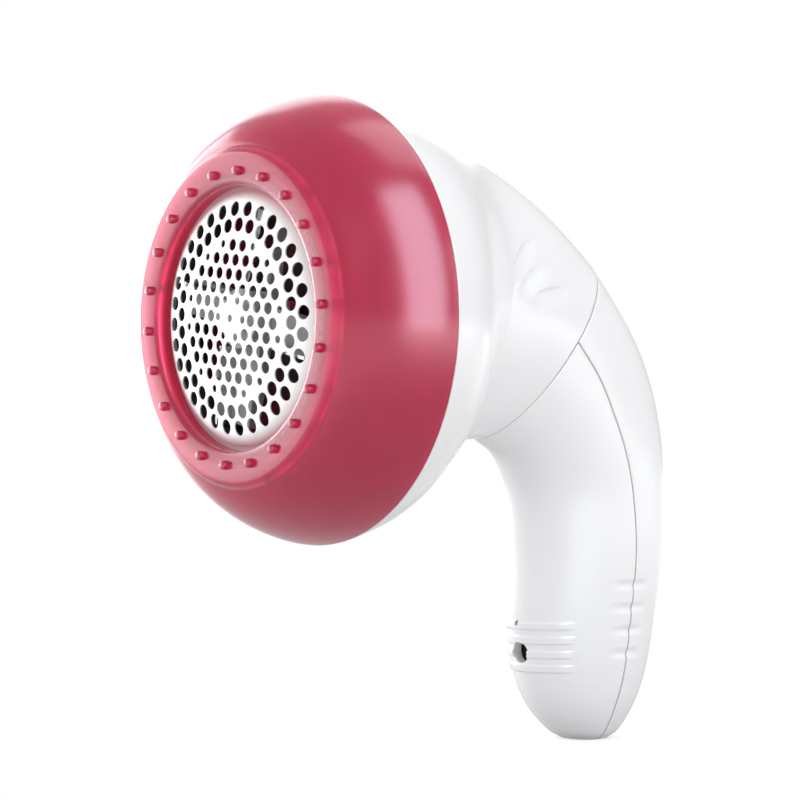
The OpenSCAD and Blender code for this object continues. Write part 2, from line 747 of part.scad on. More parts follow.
module handle_back() {
    slot_w = stem_w + 2 * run_gap;
    slot_l = stem_l + switch_travel + 2 * run_gap;
    recess_w = knob_w + 2 * run_gap;
    recess_l = knob_l + switch_travel + 2 * run_gap;
    seat_w = case_w + 2 * fit_gap;
    seat_l = case_l + 2 * fit_gap;
    color([0.95, 0.95, 0.96]) difference() {
        union() {
            handle_shell(false);
            for (u = cradle_places) battery_cradle(station(handle_keys, u));
        }
        on_switch() {
            translate([-slot_w / 2, -slot_l / 2, -wall - 2]) cube([slot_w, slot_l, wall + 4]);
            translate([-recess_w / 2, -recess_l / 2, -recess]) cube([recess_w, recess_l, recess + 2]);
            translate([-seat_w / 2, -seat_l / 2, case_top - 2]) cube([seat_w, seat_l, 2]);
        }
        facing_front(0, joint_z) translate([0, 0, -20]) cylinder(d = screw_d + 0.2, h = 24);
        facing_front(0, joint_z) translate([0, 0, -joint_seat - 20]) cylinder(d = 4.2, h = 20);
    }
}

// A rib from the back shell's wall to the battery, hollowed to the cell's round
module battery_cradle(s) {
    z = mid(s)[1];
    wall_in = back_tip(s)[0] - wall * 0.6;
    cradle_front = cell_y + cell_d / 4;
    difference() {
        translate([-cradle_w / 2, cradle_front, z]) cube([cradle_w, wall_in - cradle_front, cradle_t]);
        translate([cell_x, cell_y, z - 1]) cylinder(d = cell_d + 2 * fit_gap, h = cradle_t + 2);
    }
}

module handle_screw() {
    color([0.6, 0.6, 0.62]) translate([0, joint_seat, joint_z]) rotate([-90, 0, 0])
        screw(screw_d - 2 * fit_gap, joint_seat + 7, 3.8, 1.5);
}

module battery() {
    color([0.2, 0.45, 0.3]) translate([cell_x, cell_y, cell_bottom]) union() {
        cylinder(d = cell_d, h = cell_l - 1);
        cylinder(d = cell_d * 0.4, h = cell_l);
    }
}

module battery_tabs() {
    tab_w = 5;
    tab_t = 0.3;
    tab_foot = 6;
    reach = cell_y + 2 - board_back;
    cell_top = cell_bottom + cell_l;
    board_top = board_bottom + board_l;
    color([0.8, 0.8, 0.8]) translate([cell_x - tab_w / 2, board_back, 0]) {
        translate([0, 0, cell_top]) cube([tab_w, reach, tab_t]);
        translate([0, 0, board_top - tab_foot])
            cube([tab_w, tab_t, cell_top - board_top + tab_foot + tab_t]);
        translate([0, 0, cell_bottom - tab_t]) cube([tab_w, reach, tab_t]);
        translate([0, 0, cell_bottom - tab_t]) cube([tab_w, tab_t, tab_foot]);
    }
}

module circuit_board() {
    color([0.12, 0.4, 0.2]) difference() {
        translate([-board_w / 2, board_front, board_bottom]) cube([board_w, board_t, board_l]);
        board_posts() translate([0, 0, -20]) cylinder(d = screw_d + 0.2, h = 40);
    }
}

module board_screws() {
    color([0.6, 0.6, 0.62]) for (p = [[post_x, post_low], [-post_x, post_high]])
        translate([p[0], board_back, p[1]]) rotate([-90, 0, 0])
            screw(screw_d - 2 * fit_gap, board_t + 4, 3, 0.6);
}

module charge_socket() {
    nose_r = 2.75;
    box_w = 9;
    box_h = 5.6;
    color([0.1, 0.1, 0.1]) difference() {
        union() {
            facing_front(0, inlet_z) translate([0, 0, -board_front]) cylinder(r = nose_r, h = socket_l);
            translate([-box_w / 2, board_front - socket_l * 0.6, inlet_z - box_h / 2])
                cube([box_w, socket_l * 0.6, box_h]);
        }
        facing_front(0, inlet_z) translate([0, 0, 1 - board_front]) cylinder(r = socket_bore_r, h = socket_l);
    }
}

module charge_pin() {
    color([0.8, 0.65, 0.3]) facing_front(0, inlet_z)
        translate([0, 0, -board_front + 1]) cylinder(r = 0.65, h = socket_l - 2, $fn = 24);
}

module charge_light() {
    light_out = 17.4 * deep;
    color([0.95, 0.5, 0.4]) facing_front(0, light_z)
        translate([0, 0, -board_front]) cylinder(d = light_d, h = light_out + board_front, $fn = 24);
}

// Drawn at its off place, at the lower end of the travel
module switch_knob() {
    finger_l = 2;
    finger_h = 1;
    groove_t = 0.7;
    color([0.9, 0.9, 0.92]) on_switch() translate([0, switch_travel / 2, 0]) {
        difference() {
            translate([-knob_w / 2, -knob_l / 2, knob_low]) cube([knob_w, knob_l, knob_h]);
            for (k = [-2 : 2])
                translate([-knob_w, (k * 2.4 - 0.5) * groove_t, knob_low + knob_h - groove_t / 2])
                    cube([knob_w * 2, groove_t, 1]);
        }
        translate([-stem_w / 2, -stem_l / 2, case_top + run_gap])
            cube([stem_w, stem_l, knob_low - case_top - run_gap + fuse]);
        translate([-stem_w / 4, -finger_l / 2, case_top - finger_h])
            cube([stem_w / 2, finger_l, finger_h + run_gap + fuse]);
    }
}

module switch_body() {
    groove_w = stem_w / 2 + 2 * run_gap;
    groove_l = 2 + switch_travel + 2 * run_gap;
    color([0.65, 0.66, 0.68]) on_switch() difference() {
        translate([-case_w / 2, -case_l / 2, case_top - case_h]) cube([case_w, case_l, case_h]);
        translate([-groove_w / 2, -groove_l / 2, case_top - 1.4]) cube([groove_w, groove_l, 3]);
    }
}

// Wires from the motor's terminals through the neck to the top of the board
lead_r = 0.7;
module motor_leads() {
    start_y = motor_back + cap_t + terminal_l + 0.2 - head_reach;
    board_top = board_bottom + board_l;
    color([0.75, 0.15, 0.12]) for (side = [-1, 1]) {
        keys = [
            [side * terminal_x, start_y, head_height],
            [side * terminal_x, start_y + 5, head_height],
            [side * 5.5, start_y + 12, head_height - 2],
            [side * 4.6, board_front - 6, board_top + 15],
            [side * 4.2, board_front - 1, board_top + 8],
            [side * 4, board_front + board_t / 2, board_top + 0.2]
        ];
        path = [for (k = [0 : 15]) station(keys, k / 3)];
        capped_loft(wire_rings(path, [1, 0, 0], lead_r, 8));
    }
}

head_cover();
foil();
foil_ring();
cutter_hub();
cutter_blades();
cutter_spring();
drive_sleeve();
motor_shaft();
motor_can();
motor_bush();
motor_cap();
motor_terminals();
motor_screws();
chamber_plate();
plate_screws();
head_housing();
handle_front();
handle_back();
handle_screw();
battery();
battery_tabs();
circuit_board();
board_screws();
charge_socket();
charge_pin();
charge_light();
switch_knob();
switch_body();
motor_leads();
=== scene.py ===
"""Looks for the fabric shaver: smooth shells, a clear red cover, a bright foil and soft studio light."""

import json
import math

import bmesh
import bpy
from mathutils import Matrix, Vector


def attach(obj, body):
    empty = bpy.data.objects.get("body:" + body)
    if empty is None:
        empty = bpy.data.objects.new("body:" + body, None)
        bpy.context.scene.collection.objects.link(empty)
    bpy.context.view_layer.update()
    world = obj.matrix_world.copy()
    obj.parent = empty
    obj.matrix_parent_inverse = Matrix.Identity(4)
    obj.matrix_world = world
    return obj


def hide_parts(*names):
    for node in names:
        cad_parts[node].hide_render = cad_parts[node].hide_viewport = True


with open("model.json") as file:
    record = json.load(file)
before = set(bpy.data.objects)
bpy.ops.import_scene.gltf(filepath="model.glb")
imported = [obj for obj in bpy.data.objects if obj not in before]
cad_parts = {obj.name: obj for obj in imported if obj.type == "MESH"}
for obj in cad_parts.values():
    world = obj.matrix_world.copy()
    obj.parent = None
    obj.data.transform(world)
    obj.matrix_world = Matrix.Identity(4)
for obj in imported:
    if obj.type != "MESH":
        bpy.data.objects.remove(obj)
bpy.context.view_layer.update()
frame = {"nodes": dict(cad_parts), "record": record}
MM = 0.001

# Sizes shared with the solids, in millimetres
HEAD_HEIGHT = 79
HEAD_REACH = 83.5
RIM_R = 40
COVER_DEPTH = 17.8
COVER_WALL = 1.8
RING_R = 29.5
RING_STEP = 0.9
RIM_GAP = 0.15
APERTURE_R = 23.1
LIP_DEPTH = 3
TUBE_OUT_R = 25.6
TUBE_DEPTH = 9
TUBE_T = 1.4
LUG_IN_R = 35.7
LUG_FRONT = 14
LUG_ANGLE = 16
DOME_CENTRE_R = 28
SIDE_POWER = 1.1
FRONT_POWER = 1.4
NUBS = 22
NUB_CIRCLE_R = 25.6
NUB_R = 0.85
NUB_H = 1
COVER_TURN = 4.2
FIN_TURN = 44
FIN_T = 1.2
WALL = 1.8
INLET_Z = 17.2
INLET_R = 2
LIGHT_Z = INLET_Z + 5.6
LIGHT_R = 0.5

# Stations of the handle, top to foot: front y z, parting y z, back y z, half width
HANDLE = [
    (-27.5, 57.6, -13.7, 75.7, -1.8, 91.3, 13),
    (-24.2, 55.9, -8.2, 69, 7.5, 80, 13),
    (-21.8, 54.4, -4.2, 62, 12.9, 70.8, 12.8),
    (-19.7, 51.6, -1, 55, 16, 60.6, 12.6),
    (-17.9, 46.2, 1.3, 47, 17.6, 48.4, 12.2),
    (-17.4, 36, 2.3, 36, 16.9, 36, 12),
    (-17.4, 23, 1.5, 23, 14.5, 23, 11.3),
    (-15.8, 13, 0.3, 13, 12.2, 13, 10.7),
    (-12.6, 6.6, -0.7, 6.6, 9.8, 6.6, 9.3),
    (-7.8, 1.8, -1, 1.8, 6.8, 1.8, 6.8),
    (-4.5, 0, -1.2, 0, 4.6, 0, 4.6),
]
# Stations of the bell: depth and drop of the bottom, of the side and of the top, then half width
BELL = [
    (6.2, 38.4, 6.2, 0, 6.2, 39, 38.6),
    (12.2, 35, 12.2, 0.5, 12.2, 37.9, 34.6),
    (16.7, 31.9, 17.7, 1, 18.2, 36.5, 29.7),
    (20.7, 28.8, 22.7, 2, 24.2, 34.8, 24.4),
    (24.6, 25.6, 28.2, 2.6, 30.2, 32.8, 19.2),
]
NECK = [
    (-37.5, 56.7, -32.5, 82, -29, 109.6, 15.6),
    (-33.5, 57.1, -26, 81.2, -19.7, 104.7, 14.7),
    (-30.3, 57.4, -19.5, 79, -10.3, 98.4, 13.8),
]
RIM_Y = COVER_DEPTH - HEAD_REACH


def bell_station(b):
    """A row of the bell as a section like those of the handle."""
    return (RIM_Y + b[0], HEAD_HEIGHT - b[1], RIM_Y + b[2], HEAD_HEIGHT + b[3],
            RIM_Y + b[4], HEAD_HEIGHT + b[5], b[6])


RIM = (RIM_Y, HEAD_HEIGHT - RIM_R, RIM_Y, HEAD_HEIGHT, RIM_Y, HEAD_HEIGHT + RIM_R, RIM_R)
BELL_KEYS = [RIM] + [bell_station(b) for b in BELL] + [NECK[0]]
THROAT_KEYS = NECK + [HANDLE[0]]


def around(keys, u):
    """The four key sections about place u, and how far u lies between the middle two."""
    n = len(keys) - 1
    i = max(0, min(int(u), n - 1))
    b, c = keys[i], keys[i + 1]
    a = keys[i - 1] if i > 0 else tuple(2 * p - q for p, q in zip(b, c))
    d = keys[i + 2] if i < n - 1 else tuple(2 * q - p for p, q in zip(b, c))
    return zip(a, b, c, d), u - i


def station(keys, u):
    """The section at place u on a smooth curve through the key sections."""
    sections, t = around(keys, u)
    return tuple(
        q + (r - p) * t / 2 + (2 * p - 5 * q + 4 * r - s) * t ** 2 / 2
        + (3 * q - p - 3 * r + s) * t ** 3 / 2
        for p, q, r, s in sections
    )


def even_station(keys, u):
    """The section at place u on an even curve drawn along the key sections, without ripples."""
    sections, t = around(keys, u)
    w = ((1 - t) ** 3 / 6, (3 * t ** 3 - 6 * t * t + 4) / 6,
         (3 * t + 3 * t * t - 3 * t ** 3 + 1) / 6, t ** 3 / 6)
    return tuple(w[0] * p + w[1] * q + w[2] * r + w[3] * s for p, q, r, s in sections)


def spaced(start, end, count):
    """Evenly spaced places from the start up to, but not at, the end."""
    return [start + (end - start) * k / count for k in range(count)]


def step(x, low, high):
    """Eases from 0 to 1 as x goes from low to high."""
    t = max(0, min(1, (x - low) / (high - low)))
    return t * t * (3 - 2 * t)


# Helpers that make meshes
def new_piece(name, bm, body, finish, smooth=True, angle=35):
    """Makes an object from a bmesh, with its finish, riding on a body."""
    mesh = bpy.data.meshes.new(name)
    bmesh.ops.transform(bm, matrix=Matrix.Scale(MM, 4), verts=bm.verts)
    bm.to_mesh(mesh)
    bm.free()
    if smooth:
        mesh.shade_smooth()
        mesh.set_sharp_from_angle(angle=math.radians(angle))
    mesh.materials.append(finish)
    piece = bpy.data.objects.new(name, mesh)
    bpy.context.scene.collection.objects.link(piece)
    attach(piece, body)
    return piece


def ring_edges(verts):
    """The edges of a loop of vertices that create_circle made."""
    found = set(verts)
    return {e for v in verts for e in v.link_edges if e.verts[0] in found and e.verts[1] in found}


def loop_of(bm, count):
    """A closed loop of vertices to be moved into place."""
    verts = bmesh.ops.create_circle(bm, cap_ends=False, segments=count, radius=1)["verts"]
    return verts, ring_edges(verts)


def bridge(bm, first, second):
    """Skins the space between two loops of edges."""
    bmesh.ops.bridge_loops(bm, edges=list(first | second))


def oval_point(middle, tip, half_w, t, lift):
    """A point of a half oval, lifted along its normal."""
    depth = (tip - middle).length
    along = (tip - middle) / depth
    c, s = math.cos(t), math.sin(t)
    nx, nd = c / half_w, s / depth
    size = lift / math.hypot(nx, nd)
    reach = depth * s + nd * size
    return Vector((half_w * c + nx * size, middle.x + along.x * reach, middle.y + along.y * reach))


def moved_in(middle, tip, offset):
    """A tip drawn in towards the middle by the wall's offset."""
    return tip + (middle - tip).normalized() * offset


def on_head(turn=0):
    """Moves what is drawn about the head's axis, with Z forward, onto the head."""
    return (Matrix.Translation((0, -HEAD_REACH, HEAD_HEIGHT)) @ Matrix.Rotation(math.pi / 2, 4, "X")
            @ Matrix.Rotation(-math.radians(turn), 4, "Z"))


def spun(points, steps):
    """A solid of revolution about Z from a closed list of radius and depth."""
    bm = bmesh.new()
    verts = [bm.verts.new((r, 0, -d)) for r, d in points]
    edges = [bm.edges.new((verts[i], verts[(i + 1) % len(verts)])) for i in range(len(verts))]
    bmesh.ops.spin(bm, geom=verts + edges, cent=(0, 0, 0), axis=(0, 0, 1), angle=2 * math.pi,
                   steps=steps, use_merge=True)
    bmesh.ops.remove_doubles(bm, verts=bm.verts, dist=1e-4)
    bmesh.ops.recalc_face_normals(bm, faces=bm.faces)
    return bm


def rounded(points, radius, steps=4):
    """Rounds the corners of a closed outline where a radius is given."""
    out = []
    n = len(points)
    for i, (p, r) in enumerate(zip(points, radius)):
        here = Vector(p)
        if r == 0:
            out.append(p)
            continue
        before, after = Vector(points[i - 1]) - here, Vector(points[(i + 1) % n]) - here
        reach = min(r, before.length * 0.45, after.length * 0.45)
        a, b = here + before.normalized() * reach, here + after.normalized() * reach
        for k in range(steps + 1):
            t = k / steps
            out.append(tuple(a * (1 - t) ** 2 + here * 2 * t * (1 - t) + b * t ** 2))
    return out


# Finishes
def add_node(tree, kind, inputs=(), **settings):
    """Adds a shader node with its settings, and sets or links the inputs that are given."""
    made = tree.nodes.new("ShaderNode" + kind)
    for name, value in settings.items():
        setattr(made, name, value)
    for socket, value in dict(inputs).items():
        if isinstance(value, bpy.types.NodeSocket):
            tree.links.new(value, made.inputs[socket])
        else:
            made.inputs[socket].default_value = value
    return made


def grain(tree, scale, detail=4):
    """A fine noise on object coordinates."""
    place = add_node(tree, "TexCoord").outputs["Object"]
    return add_node(tree, "TexNoise", {"Vector": place, "Scale": scale, "Detail": detail}).outputs["Fac"]


RAMP_PLACES = (0.3, 0.7)
FINER = 14
RELIEF_H = 0.0001


def moulded(name, colour, rough, spread=0.05, tint=0.02, bump=0.02, scale=180, **sockets):
    """Moulded plastic or metal: a little variation in colour and gloss, and a faint surface."""
    finish = bpy.data.materials.new(name)
    finish.use_nodes = True
    tree = finish.node_tree
    noise = grain(tree, scale)
    ramp = add_node(tree, "ValToRGB", {"Fac": noise})
    for element, place, share in zip(ramp.color_ramp.elements, RAMP_PLACES, (1 - tint, 1 + tint)):
        element.position = place
        element.color = (*[min(1, c * share) for c in colour], 1)
    gloss = add_node(tree, "MapRange", {"Value": noise, "To Min": rough - spread, "To Max": rough + spread})
    fine = grain(tree, scale * FINER, 2)
    relief = add_node(tree, "Bump", {"Height": fine, "Strength": bump, "Distance": RELIEF_H})
    shader = tree.nodes["Principled BSDF"]
    tree.links.new(ramp.outputs["Color"], shader.inputs["Base Color"])
    tree.links.new(gloss.outputs["Result"], shader.inputs["Roughness"])
    tree.links.new(relief.outputs["Normal"], shader.inputs["Normal"])
    for socket, value in sockets.items():
        shader.inputs[socket.replace("_", " ")].default_value = value
    return finish


white_gloss = moulded("white_gloss", (0.86, 0.86, 0.87), 0.22, tint=0.006, bump=0.01, Coat_Weight=0.1,
                      Coat_Roughness=0.1)
white_satin = moulded("white_satin", (0.8, 0.8, 0.79), 0.45)
red_clear = moulded("red_clear", (0.78, 0.028, 0.125), 0.2, spread=0.02, tint=0.03, bump=0.005,
                    Transmission_Weight=0.6, IOR=1.46, Coat_Weight=0.6, Coat_Roughness=0.26)
foil_steel = moulded("foil_steel", (0.93, 0.93, 0.92), 0.5, tint=0.02, bump=0.03, scale=400, Metallic=0.45)
cutter_grey = moulded("cutter_grey", (0.52, 0.53, 0.52), 0.4)
bright_steel = moulded("bright_steel", (0.72, 0.73, 0.75), 0.28, Metallic=1.0)
plated_steel = moulded("plated_steel", (0.6, 0.61, 0.63), 0.35, Metallic=1.0)
bare_brass = moulded("bare_brass", (0.75, 0.55, 0.22), 0.3, Metallic=1.0)
black_plastic = moulded("black_plastic", (0.03, 0.03, 0.03), 0.5)
green_wrap = moulded("green_wrap", (0.1, 0.35, 0.2), 0.4)
green_board = moulded("green_board", (0.04, 0.22, 0.09), 0.4)
lamp_lens = moulded("lamp_lens", (0.25, 0.24, 0.22), 0.3)
wire_red = moulded("wire_red", (0.5, 0.05, 0.04), 0.5)
SLOT_FINISH = {
    "cover_red": red_clear, "foil_steel": foil_steel, "white_shell": white_gloss, "white_inner": white_satin,
    "cutter_grey": cutter_grey, "blade_steel": bright_steel, "black_plastic": black_plastic,
    "motor_steel": plated_steel, "brass": bare_brass, "cell_wrap": green_wrap, "board_green": green_board,
    "lamp": lamp_lens, "wire": wire_red,
}
for part in frame["record"]["subparts"]:
    solid = frame["nodes"][part["node"]]
    solid.data.materials.clear()
    solid.data.materials.append(SLOT_FINISH[part["material_slot"]])


# Cover: ring with nubs, dome, inner tube, fins and lugs
DOME_START = 13
RING_ROUND = 1.2
RING_OVERHANG = 0.1
GROOVE_RUN = 0.9
GROOVE_DEPTH = 0.25
EDGE_STEPS = 12
OUTER_STEPS = 40
INNER_STEPS = 30
COVER_STEPS = 192
APERTURE_ROUND = 1
RIM_ROUND = 0.25
TUBE_ROUNDS = [0.4, 0.3, 0.3, 0.2, 0.2]
NUB_TAPER = 0.92
NUB_ROUND = 0.25
NUB_SINK = 0.4
FINS = 3
FIN_REACH = 0.8
FIN_SHORT = 1
LUG_T = 1.5
SEAT = 0.2


def dome(r, front, start, end, n):
    """The outline of the dome between two angles, from its front at 0 to its rim at 90 degrees."""
    back = COVER_DEPTH - RIM_GAP
    out = []
    for k in range(n + 1):
        t = math.radians(start + (end - start) * k / n)
        out.append((DOME_CENTRE_R + (r - DOME_CENTRE_R) * max(0, math.sin(t)) ** SIDE_POWER,
                    back - (back - front) * max(0, math.cos(t)) ** FRONT_POWER))
    return out


def soft_edge(r, front):
    """The ring's face rounds off, drops and meets the dome in a shallow groove."""
    rim = dome(r, front, DOME_START, 90, OUTER_STEPS)
    end = Vector(rim[0])
    lean = (Vector(rim[1]) - end).normalized()
    start, first = Vector((RING_R - RING_ROUND, 0)), Vector((RING_R + RING_OVERHANG, 0))
    second = end - lean * GROOVE_RUN + Vector((0, GROOVE_DEPTH))
    for k in range(EDGE_STEPS):
        t = k / EDGE_STEPS
        yield tuple(start * (1 - t) ** 3 + first * 3 * t * (1 - t) ** 2
                    + second * 3 * t * t * (1 - t) + end * t ** 3)
    yield from rim


def bar(bm, turn, size, place):
    """A plain block on the head, turned about its axis."""
    verts = bmesh.ops.create_cube(bm, size=1)["verts"]
    bmesh.ops.transform(bm, verts=verts, matrix=Matrix.Rotation(math.radians(-turn), 4, "Z")
                        @ Matrix.Translation(place) @ Matrix.Diagonal((*size, 1)))


def arc_block(bm, turn, r_in, r_out, front, back, angle):
    """A block bent about the head's axis."""
    made = bmesh.ops.create_grid(bm, x_segments=1, y_segments=1, size=0.5)["verts"]
    bmesh.ops.transform(bm, verts=made, matrix=Matrix.Rotation(math.radians(90 - turn + angle / 2), 4, "Z")
                        @ Matrix.Translation(((r_in + r_out) / 2, 0, -(front + back) / 2))
                        @ Matrix.Rotation(math.pi / 2, 4, "X")
                        @ Matrix.Diagonal((r_out - r_in, back - front, 1, 1)))
    face = made[0].link_faces[0]
    bmesh.ops.spin(bm, geom=[face, *face.edges, *face.verts], cent=(0, 0, 0), axis=(0, 0, 1),
                   angle=-math.radians(angle), steps=10)


def add_nubs(bm):
    """A circle of small studs with rounded tops, let a little into the ring."""
    for k in range(NUBS):
        nub = bmesh.ops.create_cone(bm, cap_ends=True, segments=20, radius1=NUB_R, radius2=NUB_R * NUB_TAPER,
                                    depth=NUB_H + NUB_SINK)["verts"]
        top = [e for v in nub for e in v.link_edges if all(w.co.z > 0 for w in e.verts)]
        bmesh.ops.bevel(bm, geom=list(set(top)), offset=NUB_ROUND, segments=3, profile=0.5, affect="EDGES",
                        material=-1)
        nub = [v for v in bm.verts if math.hypot(v.co.x, v.co.y) < NUB_R * 1.01]
        bmesh.ops.transform(bm, verts=nub, matrix=Matrix.Rotation(math.radians(-k * 360 / NUBS), 4, "Z")
                            @ Matrix.Translation((0, NUB_CIRCLE_R, (NUB_H - NUB_SINK) / 2)))


def add_fins_and_lugs(bm):
    """Fins between the tube and the ring, and bayonet lugs inside the rim, in turn."""
    fin_front, fin_back = COVER_WALL + SEAT, TUBE_DEPTH - FIN_SHORT
    fin_in, fin_out = TUBE_OUT_R - SEAT, RING_R + FIN_REACH
    lug_out = RIM_R - COVER_WALL + SEAT
    for k in range(FINS):
        turn = FIN_TURN - COVER_TURN + 360 / FINS * k
        bar(bm, turn, (FIN_T, fin_out - fin_in, fin_back - fin_front),
            (0, (fin_in + fin_out) / 2, -(fin_front + fin_back) / 2))
        arc_block(bm, turn + 180 / FINS, LUG_IN_R, lug_out, LUG_FRONT, LUG_FRONT + LUG_T, LUG_ANGLE)


def make_cover():
    inner_front = COVER_WALL + RING_STEP / 2
    tube_in_r = TUBE_OUT_R - TUBE_T
    outside = list(soft_edge(RIM_R, RING_STEP))
    inside = dome(RIM_R - COVER_WALL, inner_front, 90, 0, INNER_STEPS)
    tail = [(TUBE_OUT_R, inner_front), (TUBE_OUT_R, TUBE_DEPTH), (tube_in_r, TUBE_DEPTH),
            (tube_in_r, LIP_DEPTH), (APERTURE_R, LIP_DEPTH)]
    points = [(APERTURE_R, 0)] + outside + inside + tail
    radius = [APERTURE_ROUND] + [0] * (len(outside) - 1) + [RIM_ROUND] * 2
    radius += [0] * (len(inside) - 1) + TUBE_ROUNDS
    bm = spun(rounded(points, radius), COVER_STEPS)
    add_nubs(bm)
    add_fins_and_lugs(bm)
    bmesh.ops.recalc_face_normals(bm, faces=bm.faces)
    bmesh.ops.transform(bm, verts=bm.verts, matrix=on_head(COVER_TURN))
    piece = new_piece("cover_shell", bm, "cover", red_clear)
    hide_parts("head_cover")


# Foil: the solid's own sheet, with its loose triangles joined, its shoulder spread and its crown smooth
SHOULDER_R = 19.6
SHOULDER_SPREAD = 0.17


def make_foil():
    bm = bmesh.new()
    bm.from_mesh(frame["nodes"]["foil"].data)
    bmesh.ops.remove_doubles(bm, verts=bm.verts, dist=1e-6)
    bmesh.ops.transform(bm, verts=bm.verts, matrix=Matrix.Scale(1 / MM, 4))
    for v in bm.verts:
        r = math.hypot(v.co.x, v.co.z - HEAD_HEIGHT)
        if SHOULDER_R < r < APERTURE_R:
            wider = 1 + (r - SHOULDER_R) * SHOULDER_SPREAD / r
            v.co.x, v.co.z = v.co.x * wider, HEAD_HEIGHT + (v.co.z - HEAD_HEIGHT) * wider
    piece = new_piece("foil_sheet", bm, "cover", foil_steel, angle=25)
    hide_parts("foil")


# Housing: bell and neck, creased below and smooth above, with three shallow steps on each side of the neck
# Turns about a section, in degrees, close together on both sides for the crease and the steps
FINE = [-10 + 0.8 * k for k in range(76)]
TURNS = [t for t in FINE if t >= 0] + [52 + 4 * k for k in range(20)] + [180 - t for t in reversed(FINE)] \
    + [194 + 4 * k for k in range(39)] + [360 + t for t in FINE if t < 0]
SIDE_STEPS = [
    [(-33.3, 88.1), (-32.2, 89.4), (-30.7, 91), (-29.2, 92.4), (-27.5, 93.5), (-25.5, 94.2), (-23.5, 94.7)],
    [(-31.4, 83.5), (-30.7, 85.1), (-29.7, 86.3), (-28.4, 87.4), (-26.6, 88.5), (-24.5, 89.5), (-21.9, 90.1),
     (-19.2, 90.4)],
    [(-28.2, 82.9), (-26.6, 83.8), (-24.6, 84.7), (-22.2, 85.4), (-19.7, 85.7), (-16.7, 85.7), (-13.9, 85.4)],
]
SIDE_STEP_H = 0.55
STEP_RISE = (-0.1, 0.3)
STEP_FALL = (0.5, 4.5)
STEP_FADE_IN = (0, 0.45)
STEP_FADE_OUT = (0.6, 1)
STEPPED_TO = 50
CREASE_FADE = (-6, 22)
CREASE_H = 0.5
SMOOTH_KEYS = BELL_KEYS[:-1] + THROAT_KEYS


def side_recess(point):
    """How far the neck's side is let in below each stepped arc, easing out towards its ends."""
    here, deep = Vector((point.y, point.z)), 0
    for arc in SIDE_STEPS:
        best = None
        for k in range(len(arc) - 1):
            a, b = Vector(arc[k]), Vector(arc[k + 1])
            run = b - a
            t = max(0, min(1, (here - a).dot(run) / run.length_squared))
            gap = here - a - run * t
            if best is None or gap.length < best[0].length:
                best = gap, (k + t) / (len(arc) - 1), run
        gap, along, run = best
        below = gap.length * (1 if run.x * gap.y - run.y * gap.x < 0 else -1)
        fade = step(along, *STEP_FADE_IN) * (1 - step(along, *STEP_FADE_OUT))
        deep += SIDE_STEP_H * fade * step(below, *STEP_RISE) * (1 - step(below, *STEP_FALL))
    return deep


def egg_loop(bm, creased, eased, offset, let_in=0, stepped=False):
    """A whole section of the housing: over the back tip, then over the front tip."""
    verts, edges = loop_of(bm, len(TURNS))
    for v, turn in zip(verts, TURNS):
        t, over = (turn, True) if turn <= 180 else (360 - turn, False)
        above = step(min(t, 180 - t) * (1 if over else -1), *CREASE_FADE)
        s = [c + (e - c) * above for c, e in zip(creased, eased)]
        middle, tip = Vector(s[2:4]), Vector(s[4:6] if over else s[0:2])
        tip = moved_in(middle, tip, offset)
        lift = -let_in * (1 - above)
        v.co = oval_point(middle, tip, s[6] - offset, math.radians(t), lift)
        if stepped and min(t, 180 - t) < STEPPED_TO:
            v.co = oval_point(middle, tip, s[6] - offset, math.radians(t), lift - side_recess(v.co))
    return edges


def make_housing():
    bell, throat = len(BELL_KEYS) - 1, len(THROAT_KEYS) - 1
    end = bell + throat

    def place(u):
        first = even_station(BELL_KEYS, u) if u <= bell else even_station(THROAT_KEYS, u - bell)
        return first, even_station(SMOOTH_KEYS, u)

    def let_in(u):
        """The neck starts a little below the bell's lower edge and comes up again towards the seam."""
        return CREASE_H * step(u, bell - 0.03, bell + 0.03) * (1 - step(u, bell + 0.1, bell + 1.6))

    # Places of the outer sections: the bell, the run up to the crease, the crease itself, then the neck
    outside = spaced(0.1, bell - 1, 50) + spaced(bell - 1, bell - 0.05, 20)
    outside += [bell + 0.01 * k for k in (-5, -3, -2, -1, 0, 1, 2, 3, 5, 8)]
    outside += spaced(bell + 0.1, end - 0.04, 70) + [end - 0.04]
    bm = bmesh.new()
    loops = [egg_loop(bm, *place(u), offset) for u, offset in ((0, 4), (0, 0.45), (0.01, 0.12), (0.04, 0))]
    loops += [egg_loop(bm, *place(u), 0, let_in(u), True) for u in outside]
    loops += [egg_loop(bm, *place(u), offset) for u, offset in ((end - 0.02, 0.02), (end - 0.006, 0.08),
                                                               (end, 0.25), (end, WALL + 0.2))]
    spigot = station(HANDLE, 0.35)
    loops += [egg_loop(bm, spigot, spigot, offset) for offset in (WALL + 0.2, 2 * WALL + 0.2)]
    loops += [egg_loop(bm, *place(bell + throat * k / 6), WALL) for k in range(5, 0, -1)]
    loops += [egg_loop(bm, *place(bell * k / 12), WALL) for k in range(12, 1, -1)]
    for first, second in zip(loops, loops[1:] + loops[:1]):
        bridge(bm, first, second)
    bmesh.ops.recalc_face_normals(bm, faces=bm.faces)
    piece = new_piece("housing_shell", bm, "body", white_gloss, angle=40)
    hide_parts("head_housing")


# Handle shells: ribs on the front, grip dimples across the parting line
RIB_TOP = INLET_Z + 5.1
RIB_PITCH = 2.7
RIB_H = 0.4
DIMPLE_TOP = INLET_Z + 12.6
DIMPLE_PITCH = 4.3
DIMPLE_H = 0.35
RIBS = 4
DIMPLES = 4
RIB_EDGE = (0.5, 0.85)
DIMPLE_EDGE = (0.1, 1.2)
DIMPLE_TURN = (5, 16)
RIB_TURN = (40, 50)


def ribs_at(z):
    """How fully a rib stands at a height, from 0 to 1."""
    return max(1 - step(abs(z - RIB_TOP + k * RIB_PITCH), *RIB_EDGE) for k in range(RIBS))


